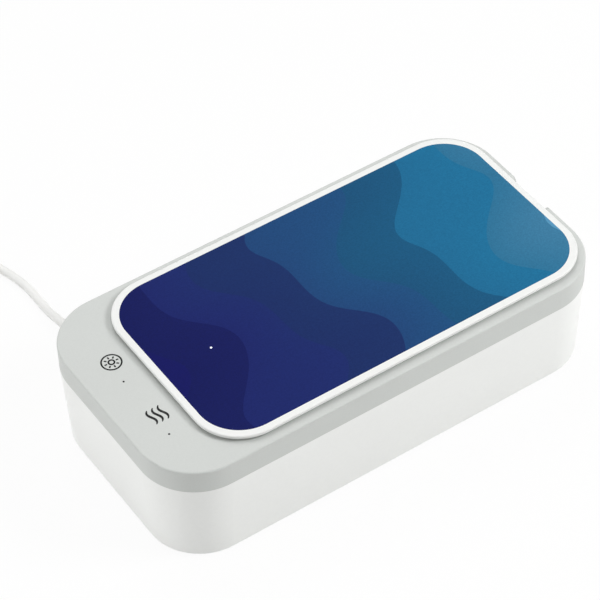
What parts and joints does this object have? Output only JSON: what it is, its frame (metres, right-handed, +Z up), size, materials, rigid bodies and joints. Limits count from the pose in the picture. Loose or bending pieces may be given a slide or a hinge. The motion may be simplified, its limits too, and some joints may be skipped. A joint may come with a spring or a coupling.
{
  "type": "uv sanitizer box",
  "caption": "Rounded box with a steel tank for uv and ultrasonic cleaning, a hinged lid that is a flat charging pad, a touch control strip and a plug-in cord.",
  "frame": {"origin": "under the middle of the housing, on the surface that its feet stand on, the cord left aside", "axes": "+X along the length from the control strip to the finger notch, -Y the front long side, +Z up"},
  "size_m": [0.268, 0.2668, 0.0584],
  "materials": {
    "white_abs": "fine matte moulding",
    "grey_abs": "fine matte moulding",
    "printed_sheet": "printed film, satin",
    "rubber": "matte",
    "silicone": "matte",
    "stainless": "drawn and brushed",
    "steel": "plain",
    "board_green": "solder mask",
    "component_black": "moulded",
    "copper": "enamelled winding",
    "ferrite": "sintered",
    "ceramic": "sintered",
    "quartz": "clear",
    "light_pipe": "smoked moulding",
    "foam": "conductive foam",
    "cord_white": "matte jacket",
    "plug_metal": "plated",
    "tie_black": "woven hook tape"
  },
  "bodies": {
    "housing": {"base_shell": "white_abs", "feet": "rubber", "case_screws": "steel", "deck": "grey_abs", "hinge_pin_front": "steel", "hinge_pin_back": "steel", "tank": "stainless", "tank_gasket": "silicone", "transducer": "ceramic", "driver_board": "board_green", "driver_transformer": "component_black", "driver_capacitors": "component_black", "board_screws": "steel", "inlet_board": "board_green", "usb_socket": "steel", "control_board": "board_green", "control_screws": "steel", "touch_pad_uv": "foam", "touch_pad_ultrasonic": "foam", "light_pipe_uv": "light_pipe", "light_pipe_ultrasonic": "light_pipe", "lid_sensor": "component_black", "deck_magnets": "steel", "inlet_plug": "cord_white", "inlet_plug_tongue": "plug_metal", "cord": "cord_white", "cord_coil": "cord_white", "cord_tail": "cord_white", "cord_tie": "tie_black", "end_plug": "cord_white", "end_plug_shell": "plug_metal"},
    "lid": {"lid_top": "white_abs", "pad_sheet": "printed_sheet", "lid_base": "white_abs", "lid_seal": "silicone", "lid_screws": "steel", "lid_magnets": "steel", "lid_indicator": "light_pipe", "charging_coil": "copper", "ferrite_sheet": "ferrite", "charger_board": "board_green", "uv_board": "board_green", "uv_leds": "ceramic", "uv_window": "quartz", "lid_board_screws": "steel"}
  },
  "joints": [
    {"name": "lid_hinge", "type": "hinge", "parent": "housing", "child": "lid", "pos_m": [-0.09265, 0, 0.0495], "axis": [0, -1, 0], "range_deg": [0, 95]}
  ]
}
